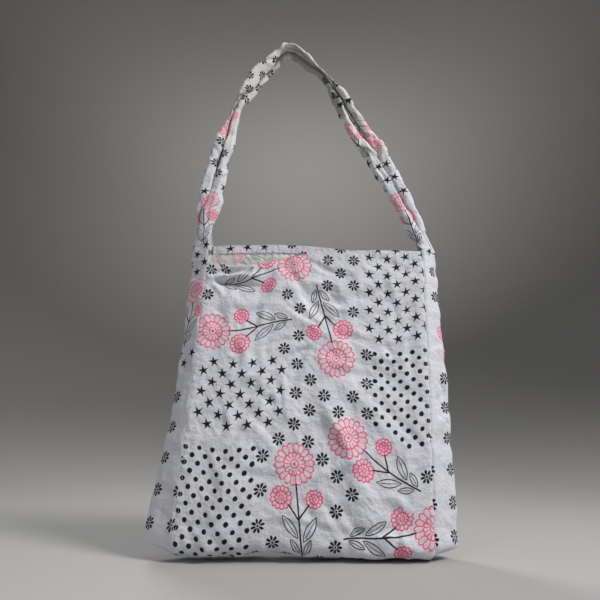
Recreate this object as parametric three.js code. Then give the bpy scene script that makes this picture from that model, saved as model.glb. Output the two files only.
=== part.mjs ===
// A thin cotton tote bag, hanging empty by its shoulder strap.
// Two cloths make it: a body panel that runs down the front, under the bottom and up the back,
// and one long side band that is the left gusset, the shoulder strap and the right gusset in turn.
// Millimetres, +Z up. The front faces -Y, and the origin is the underside of the strap where a peg holds it.
import * as THREE from "three";

// Driving sizes
const panelWidth = 305;
const mouthZ = -370;
const bottomZ = -761;
const bottomCentreX = 20;
const leanToMouth = 19; // the empty bag hangs askew: its mouth lies this far right of its bottom
const clothWall = 1;
const hemDepth = 14;
const hemWall = 3; // the turned hem is three layers of cloth
const seamGap = 0.8; // between the body panel's side edge and the band sewn to it
const kneeHeight = 24; // the bottom turns up into the walls over this height
const kneeSquareness = 3; // 2 would be a round bottom, more is flatter
const creaseRounding = 0.25; // how blunt the gusset's outer crease is
const dentShare = 0.15; // how much of the band, to each side of its crease, is dented in along the strap
const footClose = 88; // degrees round the bottom's turn where the gusset's foot ends, nearly closed

// How finely the cloth is divided
const acrossSteps = 22;
const wallSteps = 15;
const bottomSteps = 8;
const bandSteps = 20;
const gussetSteps = 10;
const cornerSteps = 5;
const strapStepsPerRow = 3;
const joinSteps = 4;

// Mouth and bottom edges of the body panel: across is -1 at the left seam and 1 at the right.
// The cloth has slipped to the back on the left, so the front mouth dips there.
const edgeRows = [
  { across: -1, frontTop: -384, backTop: -349, bottomLift: 0 },
  { across: -0.75, frontTop: -386, backTop: -348, bottomLift: 0 },
  { across: -0.5, frontTop: -384, backTop: -348, bottomLift: 3 },
  { across: -0.25, frontTop: -376, backTop: -349, bottomLift: 9 },
  { across: 0.1, frontTop: -370, backTop: -353, bottomLift: 4 },
  { across: 0.5, frontTop: -368, backTop: -360, bottomLift: 1 },
  { across: 1, frontTop: -370, backTop: -367, bottomLift: 0 },
];

// Half the bag's depth from front to back, along the side seams and down the middle of the panel
const depthRows = [
  { z: -761, seam: 25, middle: 29 },
  { z: -690, seam: 25, middle: 29 },
  { z: -600, seam: 23, middle: 25 },
  { z: -480, seam: 19, middle: 18 },
  { z: -400, seam: 16, middle: 13 },
  { z: -345, seam: 15, middle: 12 },
];

// Soft folds of the front and back walls. Each runs along turn, in degrees from level, and stands out
// by height, or is a dent where that is negative.
const foldRows = [
  { side: "front", x: -55, z: -402, along: 60, width: 9, turn: 6, height: 4 },
  { side: "front", x: -62, z: -424, along: 45, width: 10, turn: -8, height: -4 },
  { side: "front", x: -96, z: -480, along: 50, width: 10, turn: 84, height: -4 },
  { side: "front", x: 75, z: -640, along: 75, width: 14, turn: 108, height: 5 },
  { side: "front", x: 140, z: -560, along: 42, width: 14, turn: 150, height: -5 },
  { side: "front", x: 110, z: -600, along: 50, width: 12, turn: 128, height: 4 },
  { side: "front", x: 115, z: -742, along: 55, width: 7, turn: 8, height: 4 },
  { side: "front", x: -70, z: -690, along: 60, width: 22, turn: 70, height: 6 },
  { side: "back", x: 90, z: -430, along: 70, width: 12, turn: 172, height: 4 },
  { side: "back", x: -60, z: -560, along: 80, width: 18, turn: 60, height: 5 },
  { side: "back", x: 70, z: -640, along: 70, width: 16, turn: 115, height: -5 },
  { side: "back", x: 20, z: -720, along: 90, width: 12, turn: 4, height: 4 },
];

// How far each gusset's crease stands out from its seams
const gussetRows = [
  { z: -761, left: 43, right: 32 },
  { z: -705, left: 38, right: 33 },
  { z: -615, left: 27, right: 31 },
  { z: -510, left: 24, right: 27 },
  { z: -430, left: 25, right: 24 },
  { z: -345, left: 27, right: 20 },
];

// The strap, from the left side of the mouth over the peg to the right. The band is rolled into a flat tube
// with its middle crease dented in. flat is where the tube's broad way points and crease where the crease
// faces, in degrees round the strap from outward (0) by way of the front (90) to inward (180); dent is the
// crease's depth. The tube's open slit lies opposite the crease, and gap is half the slit's angle.
const strapRows = [
  { x: -122, y: 0, z: -301, halfWidth: 17.5, halfThick: 8.5, flat: 0, crease: 50, dent: 3, gap: 30 },
  { x: -117, y: -1, z: -272, halfWidth: 17, halfThick: 7.5, flat: 0, crease: 82, dent: 6, gap: 18 },
  { x: -112, y: -2, z: -236, halfWidth: 16.5, halfThick: 7, flat: 0, crease: 92, dent: 6.5, gap: 15 },
  { x: -106, y: -2, z: -193, halfWidth: 15.5, halfThick: 7, flat: 4, crease: 98, dent: 6.5, gap: 15 },
  { x: -97, y: 0, z: -158, halfWidth: 12.5, halfThick: 7, flat: 22, crease: 104, dent: 5.5, gap: 16 },
  { x: -84, y: 0, z: -107, halfWidth: 9.5, halfThick: 6, flat: 74, crease: 118, dent: 3, gap: 18 },
  { x: -64, y: 0, z: -68, halfWidth: 15, halfThick: 6.5, flat: 54, crease: 154, dent: 5, gap: 18 },
  { x: -35, y: 0, z: -21, halfWidth: 14.5, halfThick: 6, flat: 62, crease: 160, dent: 5, gap: 18 },
  { x: -1, y: 0, z: 6, halfWidth: 15.5, halfThick: 5.8, flat: 82, crease: 140, dent: 4, gap: 18 },
  { x: 33, y: 0, z: -22, halfWidth: 12, halfThick: 5.4, flat: 72, crease: 140, dent: 4, gap: 18 },
  { x: 49, y: 0, z: -43, halfWidth: 9.5, halfThick: 5.4, flat: 64, crease: 118, dent: 3, gap: 18 },
  { x: 65, y: 0, z: -65, halfWidth: 12, halfThick: 6, flat: 46, crease: 106, dent: 4.5, gap: 16 },
  { x: 83, y: 0, z: -99, halfWidth: 14.5, halfThick: 7.2, flat: 24, crease: 96, dent: 6.5, gap: 16 },
  { x: 110, y: -1, z: -154, halfWidth: 17, halfThick: 7.5, flat: 6, crease: 92, dent: 7.5, gap: 16 },
  { x: 139, y: -2, z: -209, halfWidth: 17.5, halfThick: 7, flat: 0, crease: 92, dent: 6.5, gap: 16 },
  { x: 164, y: -1, z: -268, halfWidth: 15, halfThick: 7.5, flat: 2, crease: 90, dent: 6, gap: 17 },
  { x: 180, y: 0, z: -309, halfWidth: 13.5, halfThick: 8.5, flat: 0, crease: 76, dent: 5, gap: 22 },
  { x: 190, y: 0, z: -338, halfWidth: 12.5, halfThick: 10, flat: 0, crease: 58, dent: 3, gap: 30 },
];

const front = { sign: -1, top: "frontTop", name: "front" };
const back = { sign: 1, top: "backTop", name: "back" };
const left = { sign: -1, gusset: "left" };
const right = { sign: 1, gusset: "right" };

const cotton = (name) =>
  new THREE.MeshStandardMaterial({ name, color: 0xd9dadc, roughness: 0.9, metalness: 0 });

// Smooth reading of a table: each column is a cubic through its rows, placed by the column named key
function readTable(rows, key, at, column) {
  const last = rows.length - 1;
  let i = 0;
  while (i < last - 1 && at > rows[i + 1][key]) i += 1;
  const slope = (k) => {
    const a = rows[Math.max(k - 1, 0)];
    const b = rows[Math.min(k + 1, last)];
    return (b[column] - a[column]) / (b[key] - a[key]);
  };
  const span = rows[i + 1][key] - rows[i][key];
  const t = THREE.MathUtils.clamp((at - rows[i][key]) / span, 0, 1);
  const rise = t * t * (3 - 2 * t);
  return (
    rows[i][column] * (1 - rise) +
    rows[i + 1][column] * rise +
    span * slope(i) * t * (1 - t) ** 2 -
    span * slope(i + 1) * t * t * (1 - t)
  );
}

const seamX = (across, z) =>
  bottomCentreX + (leanToMouth * (z - bottomZ)) / (mouthZ - bottomZ) + (across * panelWidth) / 2;

const edge = (across, column) => readTable(edgeRows, "across", across, column);

function halfDepth(across, z) {
  const seam = readTable(depthRows, "z", z, "seam");
  const middle = readTable(depthRows, "z", z, "middle");
  return middle + (seam - middle) * across ** 2;
}

// How far the folds of one wall stand out at a place, fading to nothing at the seams
function foldHeight(side, across, z) {
  const x = seamX(across, z);
  const fade = 1 - across ** 6;
  let height = 0;
  for (const fold of foldRows.filter((row) => row.side === side.name)) {
    const turn = THREE.MathUtils.degToRad(fold.turn);
    const along = (x - fold.x) * Math.cos(turn) + (z - fold.z) * Math.sin(turn);
    const off = (z - fold.z) * Math.cos(turn) - (x - fold.x) * Math.sin(turn);
    height += fold.height * Math.exp(-((along / fold.along) ** 2) - (off / fold.width) ** 2);
  }
  return height * fade;
}

// A place on the front or back wall
function wallPoint(side, across, z) {
  const out = halfDepth(across, z) + foldHeight(side, across, z);
  return new THREE.Vector3(seamX(across, z), side.sign * out, z);
}

const kneeZ = (across) => bottomZ + edge(across, "bottomLift") + kneeHeight;

// A place on the bottom: turn runs from 0 at the front knee through 90 underneath to 180 at the back knee
function bottomPoint(across, turn) {
  const angle = THREE.MathUtils.degToRad(turn);
  const power = 2 / kneeSquareness;
  const side = turn < 90 ? front : back;
  const z = kneeZ(across) - kneeHeight * Math.sin(angle) ** power;
  const knee = wallPoint(side, across, kneeZ(across));
  return new THREE.Vector3(seamX(across, z), knee.y * Math.abs(Math.cos(angle)) ** power, z);
}

// A closed solid from a grid of cloth places, with how much cloth lies outside and inside the grid at each
function clothSolid(grid, outside, inside) {
  const rows = grid.length;
  const columns = grid[0].length;
  const normalAt = (i, j) => {
    const down = grid[Math.min(i + 1, rows - 1)][j].clone().sub(grid[Math.max(i - 1, 0)][j]);
    const over = grid[i][Math.min(j + 1, columns - 1)].clone().sub(grid[i][Math.max(j - 1, 0)]);
    return down.cross(over).normalize();
  };
  const layer = (offset, sign) =>
    grid.flatMap((row, i) =>
      row.map((place, j) => place.clone().addScaledVector(normalAt(i, j), sign * offset(i, j))),
    );
  const places = [...layer(outside, 1), ...layer(inside, -1)];
  const outer = (i, j) => i * columns + j;
  const inner = (i, j) => rows * columns + i * columns + j;
  const triangles = [];
  const quad = (a, b, c, d) => triangles.push(a, b, c, a, c, d);
  for (let i = 0; i + 1 < rows; i += 1) {
    for (let j = 0; j + 1 < columns; j += 1) {
      quad(outer(i, j), outer(i + 1, j), outer(i + 1, j + 1), outer(i, j + 1));
      quad(inner(i, j), inner(i, j + 1), inner(i + 1, j + 1), inner(i + 1, j));
    }
  }
  for (let i = 0; i + 1 < rows; i += 1) {
    const end = columns - 1;
    quad(outer(i, 0), inner(i, 0), inner(i + 1, 0), outer(i + 1, 0));
    quad(outer(i + 1, end), inner(i + 1, end), inner(i, end), outer(i, end));
  }
  for (let j = 0; j + 1 < columns; j += 1) {
    const end = rows - 1;
    quad(outer(0, j + 1), inner(0, j + 1), inner(0, j), outer(0, j));
    quad(outer(end, j), inner(end, j), inner(end, j + 1), outer(end, j + 1));
  }
  return new THREE.BufferGeometry()
    .setFromPoints(places)
    .setIndex(triangles);
}

const steps = (count, make) => Array.from({ length: count + 1 }, (_, k) => make(k / count));

// The body panel: a row of the grid for each place down the front, under the bottom and up the back
function bodyPanel() {
  const hemEdge = 0.5; // the hem's raw edge steps down to single cloth over this height
  const columns = steps(acrossSteps, (t) => 2 * t - 1);
  const wallRows = (side) => {
    const hemRows = [0, hemDepth / 2, hemDepth, hemDepth + hemEdge].map((depth, k) => ({
      hem: k < 3,
      place: (across) => wallPoint(side, across, edge(across, side.top) - depth),
    }));
    const below = steps(wallSteps, (t) => t).slice(1);
    const plainRows = below.map((t) => ({
      hem: false,
      place: (across) => {
        const top = edge(across, side.top) - hemDepth - hemEdge;
        return wallPoint(side, across, top + (kneeZ(across) - top) * t);
      },
    }));
    return [...hemRows, ...plainRows];
  };
  const underRows = steps(bottomSteps, (t) => 180 * t)
    .slice(1, -1)
    .map((turn) => ({ hem: false, place: (across) => bottomPoint(across, turn) }));
  const rows = [...wallRows(front), ...underRows, ...wallRows(back).reverse()];
  const grid = rows.map((row) => columns.map((across) => row.place(across)));
  const outside = () => clothWall / 2;
  const inside = (i) => (rows[i].hem ? hemWall - clothWall / 2 : clothWall / 2);
  return clothSolid(grid, outside, inside);
}

const bandPlaces = steps(bandSteps, (t) => 2 * t - 1); // -1 at the band's front edge, 1 at its back edge

// How far out the gusset stands across the band, from 0 at its seams to 1 at its crease
function creaseShape(q) {
  const top = Math.hypot(1, creaseRounding);
  return (top - Math.hypot(q, creaseRounding)) / (top - creaseRounding);
}

// One section of a gusset, between a place on the front seam and one on the back seam
function gussetSection(side, frontSeam, backSeam, reach) {
  const out = new THREE.Vector3(side.sign, 0, 0);
  return bandPlaces.map((q) =>
    frontSeam
      .clone()
      .lerp(backSeam, (q + 1) / 2)
      .addScaledVector(out, seamGap + reach * creaseShape(q)),
  );
}

function gussetWallSection(side, z) {
  const reach = readTable(gussetRows, "z", z, side.gusset);
  return gussetSection(side, wallPoint(front, side.sign, z), wallPoint(back, side.sign, z), reach);
}

// The gusset's foot follows the bottom's turn in from the knees and closes under the corner
function gussetFootSection(side, turn) {
  const frontSeam = bottomPoint(side.sign, turn);
  const backSeam = bottomPoint(side.sign, 180 - turn);
  const closing = Math.cos(THREE.MathUtils.degToRad(turn)) ** (2 / kneeSquareness);
  const reach = readTable(gussetRows, "z", frontSeam.z, side.gusset) * closing;
  return gussetSection(side, frontSeam, backSeam, reach);
}

// One gusset, from its foot up to just above the mouth
function gussetSections(side, topZ) {
  const footTurns = steps(cornerSteps, (t) => footClose * (1 - t)).slice(0, -1);
  const feet = footTurns.map((turn) => gussetFootSection(side, turn));
  const kneeAt = kneeZ(side.sign);
  const walls = steps(gussetSteps, (t) => kneeAt + (topZ - kneeAt) * t);
  return [...feet, ...walls.map((z) => gussetWallSection(side, z))];
}

const strapRowAt = (at) => {
  const rows = strapRows.map((row, k) => ({ ...row, k }));
  const read = (column) => readTable(rows, "k", at, column);
  return Object.fromEntries(Object.keys(strapRows[0]).map((column) => [column, read(column)]));
};

// One section of the strap: the band goes round a flat tube from one lip of the slit to the other,
// dented in along its crease
function strapSection(at) {
  const row = strapRowAt(at);
  const near = 0.05;
  const ahead = strapRowAt(Math.min(at + near, strapRows.length - 1));
  const behind = strapRowAt(Math.max(at - near, 0));
  const way = new THREE.Vector3(ahead.x - behind.x, 0, ahead.z - behind.z).normalize();
  const outward = new THREE.Vector3(-way.z, 0, way.x);
  const forward = new THREE.Vector3(0, -1, 0);
  const flat = THREE.MathUtils.degToRad(row.flat);
  const broad = outward.clone().multiplyScalar(Math.cos(flat)).addScaledVector(forward, Math.sin(flat));
  const thin = forward.clone().multiplyScalar(Math.cos(flat)).addScaledVector(outward, -Math.sin(flat));
  const crease = THREE.MathUtils.degToRad(row.crease) - flat;
  const outOfCrease = new THREE.Vector3()
    .addScaledVector(broad, Math.cos(crease) / row.halfWidth)
    .addScaledVector(thin, Math.sin(crease) / row.halfThick)
    .normalize();
  return bandPlaces.map((q) => {
    const turn = crease - q * THREE.MathUtils.degToRad(180 - row.gap);
    const dent = row.dent * Math.exp(-((q / dentShare) ** 2));
    return new THREE.Vector3(row.x, row.y, row.z)
      .addScaledVector(broad, row.halfWidth * Math.cos(turn))
      .addScaledVector(thin, row.halfThick * Math.sin(turn))
      .addScaledVector(outOfCrease, -dent);
  });
}

// Sections that lead smoothly from one section to another
function joinSections(from, to) {
  const shares = steps(joinSteps + 1, (t) => t * t * (3 - 2 * t)).slice(1, -1);
  return shares.map((share) => from.map((place, k) => place.clone().lerp(to[k], share)));
}

// The side band: the left gusset from its foot up, the strap over the peg, the right gusset down to its foot
function sideBand() {
  const leftTopZ = edge(left.sign, "backTop") + 2;
  const rightTopZ = edge(right.sign, "backTop") + 2;
  const leftGusset = gussetSections(left, leftTopZ);
  const rightGusset = gussetSections(right, rightTopZ).reverse();
  const lastRow = strapRows.length - 1;
  const strap = steps(lastRow * strapStepsPerRow, (t) => strapSection(t * lastRow));
  const grid = [
    ...leftGusset,
    ...joinSections(leftGusset.at(-1), strap[0]),
    ...strap,
    ...joinSections(strap.at(-1), rightGusset[0]),
    ...rightGusset,
  ];
  const half = () => clothWall / 2;
  return clothSolid(grid, half, half);
}

function piece(name, geometry, material) {
  const mesh = new THREE.Mesh(geometry, material);
  mesh.name = name;
  return mesh;
}

const bag = new THREE.Group();
bag.add(piece("body_panel", bodyPanel(), cotton("body_cotton")));
bag.add(piece("side_band", sideBand(), cotton("band_cotton")));

export default bag;
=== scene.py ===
import functools
import math

import bpy
import numpy as np
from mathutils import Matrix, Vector


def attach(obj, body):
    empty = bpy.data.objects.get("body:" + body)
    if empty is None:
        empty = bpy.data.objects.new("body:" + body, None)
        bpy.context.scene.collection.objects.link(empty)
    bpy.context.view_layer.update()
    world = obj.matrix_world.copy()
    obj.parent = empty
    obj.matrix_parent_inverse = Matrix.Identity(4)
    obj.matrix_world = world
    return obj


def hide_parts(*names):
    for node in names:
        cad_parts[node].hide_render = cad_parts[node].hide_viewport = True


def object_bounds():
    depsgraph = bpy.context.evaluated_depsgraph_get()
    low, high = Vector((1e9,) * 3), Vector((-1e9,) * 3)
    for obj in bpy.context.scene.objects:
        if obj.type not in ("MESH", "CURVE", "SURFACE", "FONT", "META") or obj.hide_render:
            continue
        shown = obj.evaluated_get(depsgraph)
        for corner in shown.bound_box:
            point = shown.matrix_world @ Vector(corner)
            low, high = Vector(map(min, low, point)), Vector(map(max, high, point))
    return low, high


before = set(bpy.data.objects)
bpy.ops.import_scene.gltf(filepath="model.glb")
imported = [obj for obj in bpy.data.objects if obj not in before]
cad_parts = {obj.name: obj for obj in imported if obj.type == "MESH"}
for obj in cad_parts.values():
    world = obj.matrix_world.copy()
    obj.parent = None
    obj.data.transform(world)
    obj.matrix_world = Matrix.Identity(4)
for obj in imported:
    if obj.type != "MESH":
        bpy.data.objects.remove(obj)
cadLow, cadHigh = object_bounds()
mm = 0.001
print("frame loaded:", sorted(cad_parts))

# the bag's own sizes in millimetres: the solids' values, then the finer seams, cloth and hem
bag = dict(panelWidth=305, mouthZ=-370, bottomZ=-761, bottomCentreX=20, leanToMouth=19,
           kneeHeight=24, kneeSquareness=3.0, creaseRounding=0.25,
           seamGap=0.3, seamWander=1.8, leftSeamDip=0.9, rightSeamDip=2.3, seamDipWide=1.7,
           clothHalf=0.35, hemDepth=13, hemInside=2.1)


def table(columns, *rows):
    # each row as a dictionary with a key for every named column
    return [dict(zip(columns.split(), row)) for row in rows]


# mouth and bottom edges across the panel, from the left seam (-1) to the right (1)
edgeRows = table(
    "across frontTop backTop bottomLift",
    (-1, -387, -349, 5),
    (-0.75, -391, -348, 4),
    (-0.5, -388, -348, 5),
    (-0.25, -378, -349, 9),
    (0.1, -370, -353, 4),
    (0.5, -368, -360, 1),
    (1, -370, -367, 0))

# half the depth, front to back, along the seams and down the middle
depthRows = table(
    "z seam middle",
    (-761, 25, 29),
    (-690, 25, 29),
    (-600, 23, 25),
    (-480, 19, 18),
    (-400, 16, 13),
    (-345, 15, 12))

# soft folds: where, how long and wide, which way in degrees from level, how far out
foldRows = table(
    "side x z along width turn height",
    ("front", -55, -402, 60, 9, 6, 4),
    ("front", -62, -424, 45, 10, -8, -4),
    ("front", -96, -480, 50, 10, 84, -4),
    ("front", 75, -640, 75, 14, 108, 5),
    ("front", 140, -560, 42, 14, 150, -5),
    ("front", 110, -600, 50, 12, 128, 4),
    ("front", 115, -744, 55, 8, 8, 6),
    ("front", -70, -690, 60, 22, 70, 6),
    ("front", -86, -401, 28, 3.8, 5, -10),
    ("front", -80, -409, 32, 4.2, 3, 7),
    ("front", -88, -417, 28, 4, -5, -9),
    ("front", -101, -422, 28, 4.4, 128, 5.5),
    ("front", -20, -398, 34, 6, 14, -2.5),
    ("front", 150, -470, 26, 6, 35, 3),
    ("front", 152, -486, 24, 6, 28, -3),
    ("front", 60, -610, 42, 6, 118, 3.5),
    ("front", 112, -728, 50, 6, 7, -3.5),
    ("back", 90, -430, 70, 12, 172, 4),
    ("back", -60, -560, 80, 18, 60, 5),
    ("back", 70, -640, 70, 16, 115, -5),
    ("back", 20, -720, 90, 12, 4, 4))

# how far each gusset's crease stands out from its seams
gussetRows = table(
    "z left right",
    (-761, 43, 32),
    (-705, 38, 33),
    (-615, 27, 31),
    (-510, 24, 27),
    (-430, 25, 24),
    (-345, 27, 17))

# the rolled strap from the left side of the mouth over its top to the right; the band's
# crease is folded in and its two edges meet on the far side of the crease
strapRows = table(
    "x y z halfWidth halfThick flatTurn creaseTurn creaseDepth creaseOpen slitGap",
    (-122, 0, -301, 17.5, 8.5, 0, 50, 5.5, 0.9, 9),
    (-117, -1, -272, 17, 7.5, 0, 82, 8, 1.1, 2),
    (-112, -2, -236, 16.5, 7, 0, 92, 8.5, 1.1, -5),
    (-106, -2, -193, 15.5, 7, 4, 98, 8.5, 1.1, -7),
    (-97, 0, -158, 12.5, 7, 22, 104, 8, 1.1, -6),
    (-84, 0, -107, 8.5, 5.5, 74, 118, 5, 0.7, -3),
    (-64, 0, -68, 15, 6, 54, 168, 6.5, 1.6, -4),
    (-35, 0, -21, 14, 5.5, 62, 178, 7, 3, -4),
    (-1, 0, 8.2, 15, 5.8, 80, 168, 7.8, 8, -4),
    (33, 0, -22, 11, 5.4, 72, 146, 7, 5, -4),
    (49, 0, -43, 8.5, 5, 64, 118, 5, 0.8, -3),
    (66.5, 0, -64, 9.5, 5.5, 46, 106, 7.5, 3, -4),
    (85, 0, -98, 12.5, 6.6, 24, 96, 9.5, 5, -5),
    (110, -1, -154, 17, 7.5, 6, 92, 10, 4.4, -6),
    (139, -2, -209, 17.5, 7, 0, 92, 8.5, 1.3, -6),
    (164, -1, -268, 15, 7.5, 2, 90, 8.5, 1.3, 0),
    (180, 0, -309, 13.5, 8.5, 0, 76, 8, 1.4, 8),
    (190, 0, -338, 12.5, 10, 0, 58, 6, 1.4, 14))


def ease(t):
    return t * t * (3 - 2 * t)


def readRows(rows, key, column, at):
    # a smooth curve through one column of a table
    places = np.array([row[key] for row in rows], float)
    values = np.array([row[column] for row in rows], float)
    ends = np.arange(len(rows))
    before, after = np.maximum(ends - 1, 0), np.minimum(ends + 1, len(rows) - 1)
    slopes = (values[after] - values[before]) / (places[after] - places[before])
    at = np.asarray(at, float)
    i = np.clip(np.searchsorted(places, at) - 1, 0, len(rows) - 2)
    span = places[i + 1] - places[i]
    t = np.clip((at - places[i]) / span, 0, 1)
    rise = ease(t)
    return (values[i] * (1 - rise) + values[i + 1] * rise
            + span * slopes[i] * t * (1 - t) ** 2 - span * slopes[i + 1] * t * t * (1 - t))


def softNoise(x, y, seed):
    # smooth noise from 0 to 1 on a unit lattice that repeats after a while
    period = 97
    random = np.random.default_rng(seed).random((period, period))
    i, j = np.floor(x).astype(int), np.floor(y).astype(int)
    s, t = x - i, y - j
    s, t = s ** 3 * (s * (6 * s - 15) + 10), t ** 3 * (t * (6 * t - 15) + 10)
    corner = lambda a, b: random[(i + a) % period, (j + b) % period]
    low = corner(0, 0) * (1 - s) + corner(1, 0) * s
    high = corner(0, 1) * (1 - s) + corner(1, 1) * s
    return low * (1 - t) + high * t


def swing(slow, quick, lines, seeds):
    # a slow and a smaller quick swing to either side, each read along one line of the noise
    quickShare = 0.6
    slow, quick = (softNoise(at, at * 0 + line, seed) for at, line, seed in zip((slow, quick), lines, seeds))
    return slow + quickShare * quick - (1 + quickShare) / 2


def fade(distance, reach):
    # 1 at no distance, and next to nothing at twice the reach
    return np.exp(-(distance / reach) ** 2)


# how ridges are bent, rounded and levelled, and where each of their noises starts
creaseLook = dict(bendSize=0.7, bend=1.3, rounding=0.004, middle=0.6, bendStart=(31, 17), start=40)
# how scattered folds differ from one another, and the groove beside each
foldVary = dict(size=(0.6, 1.5), height=(0.4, 1.3), bend=0.9, groove=0.45, grooveAt=1.5)


def creases(x, y, size, seed):
    # crumpled ridges about size apart, from 0 to 1
    x, y = x / size, y / size
    slowX, slowY = x * creaseLook["bendSize"], y * creaseLook["bendSize"]
    startX, startY = creaseLook["bendStart"]
    bendX = softNoise(slowX + startX, slowY, seed + 1) * creaseLook["bend"]
    bendY = softNoise(slowX, slowY + startY, seed + 2) * creaseLook["bend"]
    level = softNoise(x + bendX + creaseLook["start"], y + bendY + creaseLook["start"], seed)
    return 1 - np.sqrt((2 * level - 1) ** 2 + creaseLook["rounding"])


def crumple(u, v, rows):
    # ridges of several sizes; a small share along draws them out along the cloth
    lift = 0
    for row in rows:
        ridges = creases(u, v * row["along"], row["size"], row["seed"])
        lift += row["height"] * (ridges - creaseLook["middle"])
    return lift


def scatteredFolds(u, v, look):
    # short soft folds at random places, some up and some down
    dice = np.random.default_rng(look["seed"])
    height = np.zeros(np.broadcast(u, v).shape)
    for _ in range(look["count"]):
        turn = math.radians(dice.normal(look["turn"], look["spread"]))
        x, y = u - dice.uniform(u.min(), u.max()), v - dice.uniform(v.min(), v.max())
        along, off = x * math.cos(turn) + y * math.sin(turn), y * math.cos(turn) - x * math.sin(turn)
        long, wide = (look[key] * dice.uniform(*foldVary["size"]) for key in ("long", "wide"))
        off = off / wide + dice.uniform(-foldVary["bend"], foldVary["bend"]) * (along / long) ** 2
        shape = fade(off, 1) - foldVary["groove"] * fade(off - foldVary["grooveAt"], 1)
        high = dice.choice((-1, 1)) * look["high"] * dice.uniform(*foldVary["height"])
        height += high * shape * fade(along, long)
    return height


# the side seams' small swings; the powers keep them near the seams, and the folds away from there
seamSwing = dict(lengths=(17, 6.5), start=60, lines=(5, 9), seeds=(41, 43), seamPower=10, foldPower=6)


def seamX(across, z):
    lean = bag["leanToMouth"] * (z - bag["bottomZ"]) / (bag["mouthZ"] - bag["bottomZ"])
    slow, quick = (z / length + seamSwing["start"] for length in seamSwing["lengths"])
    swings = swing(slow, quick, seamSwing["lines"], seamSwing["seeds"])
    wander = bag["seamWander"] * swings * across ** seamSwing["seamPower"]
    return bag["bottomCentreX"] + lean + across * bag["panelWidth"] / 2 + wander


def foldHeight(side, across, z):
    x = seamX(across, z)
    height = np.zeros(np.broadcast(x, z).shape)
    for fold in foldRows:
        if fold["side"] == side:
            turn = math.radians(fold["turn"])
            along = (x - fold["x"]) * math.cos(turn) + (z - fold["z"]) * math.sin(turn)
            off = (z - fold["z"]) * math.cos(turn) - (x - fold["x"]) * math.sin(turn)
            height += fold["height"] * np.exp(-(along / fold["along"]) ** 2 - (off / fold["width"]) ** 2)
    return height * (1 - across ** seamSwing["foldPower"])


def wallPlace(side, across, z):
    seam = readRows(depthRows, "z", "seam", z)
    middle = readRows(depthRows, "z", "middle", z)
    out = middle + (seam - middle) * across ** 2 + foldHeight(side, across, z)
    sign = -1 if side == "front" else 1
    return np.stack(np.broadcast_arrays(seamX(across, z), sign * out, z), -1)


def kneeZ(across):
    return bag["bottomZ"] + readRows(edgeRows, "across", "bottomLift", across) + bag["kneeHeight"]


def bottomPlace(across, turn):
    angle, power = math.radians(turn), 2 / bag["kneeSquareness"]
    side = "front" if turn < 90 else "back"
    knee = kneeZ(across)
    z = knee - bag["kneeHeight"] * math.sin(angle) ** power
    y = wallPlace(side, across, knee)[..., 1] * abs(math.cos(angle)) ** power
    return np.stack(np.broadcast_arrays(seamX(across, z), y, z), -1)


def gridNormals(grid):
    down = np.gradient(grid, axis=0)
    over = np.gradient(grid, axis=1)
    normal = np.cross(down, over)
    return normal / np.maximum(np.linalg.norm(normal, axis=-1, keepdims=True), 1e-9)


def lengthAlong(grid, axis):
    steps = np.linalg.norm(np.diff(grid, axis=axis), axis=-1)
    zero = np.zeros_like(np.take(steps, [0], axis))
    return np.concatenate([zero, np.cumsum(steps, axis)], axis)


# body panel

bodyLook = dict(
    columns=121, wallRows=138, bottomRows=22, calmAtSeam=14, calmAtHem=26, hemCalm=0.6, hemSlack=0.1,
    pucker=0.6, puckerReach=9.0, puckerLength=6.5, puckerVary=4, puckerVaryLength=40, puckerTurns=0.75,
    hemPucker=0.4, hemPuckerReach=9, hemPuckerLength=9.5, hemPuckerDrift=3, hemPuckerDriftLength=30,
    edgeThin=0.4, edgeReach=1.3,
    creases=table("size along height seed", (74, 1, 3.6, 11), (31, 1, 2.0, 23), (13, 1, 0.9, 37)),
    folds=table("count turn spread long wide high seed",
                (260, 70, 55, 26, 6.0, 1.7, 101), (900, 60, 70, 9, 3.2, 0.55, 113)))
# rows of places down the hem and just past it, from the mouth's edge
hemSteps = [0, 0.5, 1.3, 3, 5, 7, 9, 11, *(bag["hemDepth"] + step for step in (-0.5, 0, 0.6, 2))]
farFromMouth = 400.0  # stands for the drop below the mouth, all along the bottom
onSeam = 0.5  # nearer than this to a seam the cloth doesn't pucker


def bodyGrid():
    across = np.linspace(-1, 1, bodyLook["columns"])
    rows, drops = [], []
    for side, topColumn in (("front", "frontTop"), ("back", "backTop")):
        top = readRows(edgeRows, "across", topColumn, across)
        start = top - hemSteps[-1]
        zs = [top - step for step in hemSteps]
        zs += [start + (kneeZ(across) - start) * t for t in np.linspace(0, 1, bodyLook["wallRows"])[1:]]
        wall = [wallPlace(side, across, z) for z in zs]
        drop = [top - z for z in zs]
        if side == "front":
            rows += wall
            drops += drop
            turns = np.linspace(0, 180, bodyLook["bottomRows"] + 2)[1:-1]
            rows += [bottomPlace(across, turn) for turn in turns]
            drops += [np.full_like(across, farFromMouth) for _ in turns]
        else:
            rows += wall[::-1]
            drops += drop[::-1]
    return np.array(rows), np.array(drops), across


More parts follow.
